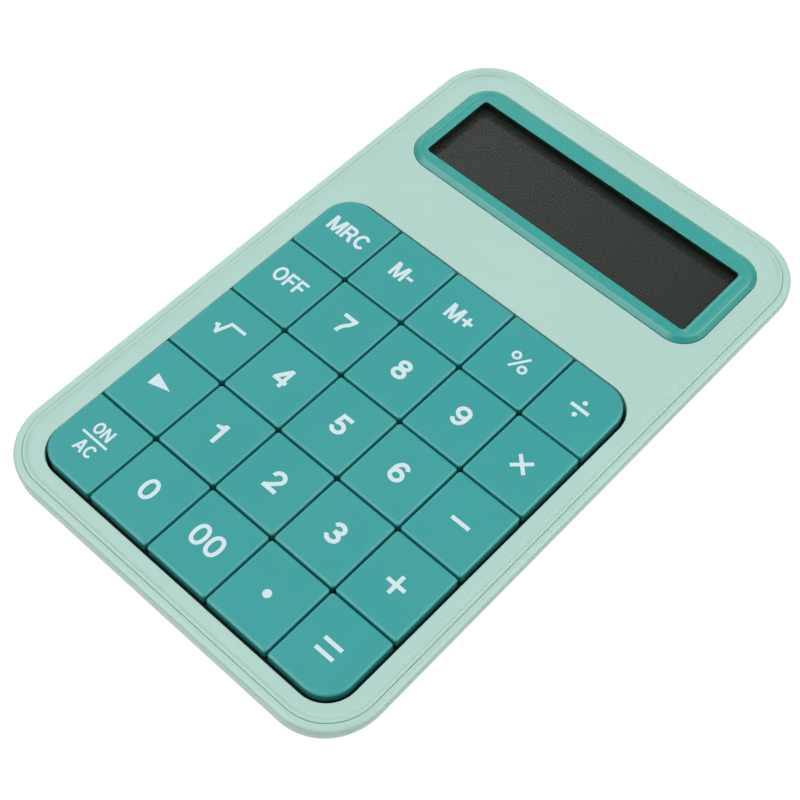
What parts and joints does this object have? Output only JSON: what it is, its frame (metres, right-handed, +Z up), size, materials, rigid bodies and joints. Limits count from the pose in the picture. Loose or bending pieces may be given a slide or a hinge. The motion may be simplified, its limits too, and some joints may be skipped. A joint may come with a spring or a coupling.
{
  "type": "desktop calculator",
  "caption": "Flat electronic calculator: shallow two-part case with a raised lip, a flush block of square keys, a framed display and a coin-cell door underneath.",
  "frame": {"origin": "middle of the case's outline, on the plane that the four rubber feet rest on", "axes": "+X along a row of keys to the right, +Y from the user towards the display, +Z up out of the keys"},
  "size_m": [0.105, 0.1656, 0.0145],
  "materials": {
    "case_mint": "satin, fine moulded grain",
    "key_teal": "satin",
    "bezel_teal": "semi-gloss",
    "lens_clear": "clear, hard-coated",
    "lcd_dark": "dark polariser",
    "inner_white": "plain moulded",
    "inner_black": "plain moulded",
    "silicone_grey": "matt translucent",
    "board_green": "solder mask",
    "epoxy_black": "cast epoxy",
    "rubber_black": "matt",
    "steel": "nickel plated",
    "wire_black": "insulation",
    "wire_red": "insulation"
  },
  "bodies": {
    "case": {"lower_case": "case_mint", "upper_case": "case_mint", "display_bezel": "bezel_teal", "display_lens": "lens_clear", "lcd_panel": "lcd_dark", "lcd_holder": "inner_white", "key_frame": "inner_black", "rubber_keypad": "silicone_grey", "circuit_board": "board_green", "chip_blob": "epoxy_black", "capacitor": "steel", "zebra_strip": "rubber_black", "coin_cell": "steel", "battery_contact_minus": "steel", "battery_contact_plus": "steel", "battery_wire_minus": "wire_black", "battery_wire_plus": "wire_red", "case_screw_1": "steel", "case_screw_2": "steel", "case_screw_3": "steel", "case_screw_4": "steel", "case_screw_5": "steel", "case_screw_6": "steel", "frame_screw_1": "steel", "frame_screw_2": "steel", "frame_screw_3": "steel", "rubber_foot_1": "rubber_black", "rubber_foot_2": "rubber_black", "rubber_foot_3": "rubber_black", "rubber_foot_4": "rubber_black"},
    "battery_door": {"battery_door": "case_mint"},
    "key_mrc": {"key_mrc": "key_teal"},
    "key_m_minus": {"key_m_minus": "key_teal"},
    "key_m_plus": {"key_m_plus": "key_teal"},
    "key_percent": {"key_percent": "key_teal"},
    "key_divide": {"key_divide": "key_teal"},
    "key_off": {"key_off": "key_teal"},
    "key_7": {"key_7": "key_teal"},
    "key_8": {"key_8": "key_teal"},
    "key_9": {"key_9": "key_teal"},
    "key_multiply": {"key_multiply": "key_teal"},
    "key_square_root": {"key_square_root": "key_teal"},
    "key_4": {"key_4": "key_teal"},
    "key_5": {"key_5": "key_teal"},
    "key_6": {"key_6": "key_teal"},
    "key_subtract": {"key_subtract": "key_teal"},
    "key_backspace": {"key_backspace": "key_teal"},
    "key_1": {"key_1": "key_teal"},
    "key_2": {"key_2": "key_teal"},
    "key_3": {"key_3": "key_teal"},
    "key_add": {"key_add": "key_teal"},
    "key_on_clear": {"key_on_clear": "key_teal"},
    "key_0": {"key_0": "key_teal"},
    "key_double_zero": {"key_double_zero": "key_teal"},
    "key_decimal_point": {"key_decimal_point": "key_teal"},
    "key_equals": {"key_equals": "key_teal"}
  },
  "joints": [
    {"name": "key_mrc_press", "type": "slide", "parent": "case", "child": "key_mrc", "axis": [0, 0, -1], "range_m": [0, 0.0015], "stiffness_N_per_m": 400, "deforming": ["rubber_keypad"]},
    {"name": "key_m_minus_press", "type": "slide", "parent": "case", "child": "key_m_minus", "axis": [0, 0, -1], "range_m": [0, 0.0015], "stiffness_N_per_m": 400, "deforming": ["rubber_keypad"]},
    {"name": "key_m_plus_press", "type": "slide", "parent": "case", "child": "key_m_plus", "axis": [0, 0, -1], "range_m": [0, 0.0015], "stiffness_N_per_m": 400, "deforming": ["rubber_keypad"]},
    {"name": "key_percent_press", "type": "slide", "parent": "case", "child": "key_percent", "axis": [0, 0, -1], "range_m": [0, 0.0015], "stiffness_N_per_m": 400, "deforming": ["rubber_keypad"]},
    {"name": "key_divide_press", "type": "slide", "parent": "case", "child": "key_divide", "axis": [0, 0, -1], "range_m": [0, 0.0015], "stiffness_N_per_m": 400, "deforming": ["rubber_keypad"]},
    {"name": "key_off_press", "type": "slide", "parent": "case", "child": "key_off", "axis": [0, 0, -1], "range_m": [0, 0.0015], "stiffness_N_per_m": 400, "deforming": ["rubber_keypad"]},
    {"name": "key_7_press", "type": "slide", "parent": "case", "child": "key_7", "axis": [0, 0, -1], "range_m": [0, 0.0015], "stiffness_N_per_m": 400, "deforming": ["rubber_keypad"]},
    {"name": "key_8_press", "type": "slide", "parent": "case", "child": "key_8", "axis": [0, 0, -1], "range_m": [0, 0.0015], "stiffness_N_per_m": 400, "deforming": ["rubber_keypad"]},
    {"name": "key_9_press", "type": "slide", "parent": "case", "child": "key_9", "axis": [0, 0, -1], "range_m": [0, 0.0015], "stiffness_N_per_m": 400, "deforming": ["rubber_keypad"]},
    {"name": "key_multiply_press", "type": "slide", "parent": "case", "child": "key_multiply", "axis": [0, 0, -1], "range_m": [0, 0.0015], "stiffness_N_per_m": 400, "deforming": ["rubber_keypad"]},
    {"name": "key_square_root_press", "type": "slide", "parent": "case", "child": "key_square_root", "axis": [0, 0, -1], "range_m": [0, 0.0015], "stiffness_N_per_m": 400, "deforming": ["rubber_keypad"]},
    {"name": "key_4_press", "type": "slide", "parent": "case", "child": "key_4", "axis": [0, 0, -1], "range_m": [0, 0.0015], "stiffness_N_per_m": 400, "deforming": ["rubber_keypad"]},
    {"name": "key_5_press", "type": "slide", "parent": "case", "child": "key_5", "axis": [0, 0, -1], "range_m": [0, 0.0015], "stiffness_N_per_m": 400, "deforming": ["rubber_keypad"]},
    {"name": "key_6_press", "type": "slide", "parent": "case", "child": "key_6", "axis": [0, 0, -1], "range_m": [0, 0.0015], "stiffness_N_per_m": 400, "deforming": ["rubber_keypad"]},
    {"name": "key_subtract_press", "type": "slide", "parent": "case", "child": "key_subtract", "axis": [0, 0, -1], "range_m": [0, 0.0015], "stiffness_N_per_m": 400, "deforming": ["rubber_keypad"]},
    {"name": "key_backspace_press", "type": "slide", "parent": "case", "child": "key_backspace", "axis": [0, 0, -1], "range_m": [0, 0.0015], "stiffness_N_per_m": 400, "deforming": ["rubber_keypad"]},
    {"name": "key_1_press", "type": "slide", "parent": "case", "child": "key_1", "axis": [0, 0, -1], "range_m": [0, 0.0015], "stiffness_N_per_m": 400, "deforming": ["rubber_keypad"]},
    {"name": "key_2_press", "type": "slide", "parent": "case", "child": "key_2", "axis": [0, 0, -1], "range_m": [0, 0.0015], "stiffness_N_per_m": 400, "deforming": ["rubber_keypad"]},
    {"name": "key_3_press", "type": "slide", "parent": "case", "child": "key_3", "axis": [0, 0, -1], "range_m": [0, 0.0015], "stiffness_N_per_m": 400, "deforming": ["rubber_keypad"]},
    {"name": "key_add_press", "type": "slide", "parent": "case", "child": "key_add", "axis": [0, 0, -1], "range_m": [0, 0.0015], "stiffness_N_per_m": 400, "deforming": ["rubber_keypad"]},
    {"name": "key_on_clear_press", "type": "slide", "parent": "case", "child": "key_on_clear", "axis": [0, 0, -1], "range_m": [0, 0.0015], "stiffness_N_per_m": 400, "deforming": ["rubber_keypad"]},
    {"name": "key_0_press", "type": "slide", "parent": "case", "child": "key_0", "axis": [0, 0, -1], "range_m": [0, 0.0015], "stiffness_N_per_m": 400, "deforming": ["rubber_keypad"]},
    {"name": "key_double_zero_press", "type": "slide", "parent": "case", "child": "key_double_zero", "axis": [0, 0, -1], "range_m": [0, 0.0015], "stiffness_N_per_m": 400, "deforming": ["rubber_keypad"]},
    {"name": "key_decimal_point_press", "type": "slide", "parent": "case", "child": "key_decimal_point", "axis": [0, 0, -1], "range_m": [0, 0.0015], "stiffness_N_per_m": 400, "deforming": ["rubber_keypad"]},
    {"name": "key_equals_press", "type": "slide", "parent": "case", "child": "key_equals", "axis": [0, 0, -1], "range_m": [0, 0.0015], "stiffness_N_per_m": 400, "deforming": ["rubber_keypad"]},
    {"name": "battery_door_turn", "type": "hinge", "parent": "case", "child": "battery_door", "pos_m": [0, 0.0613, 0.0011], "axis": [0, 0, -1], "range_deg": [0, 45]}
  ]
}
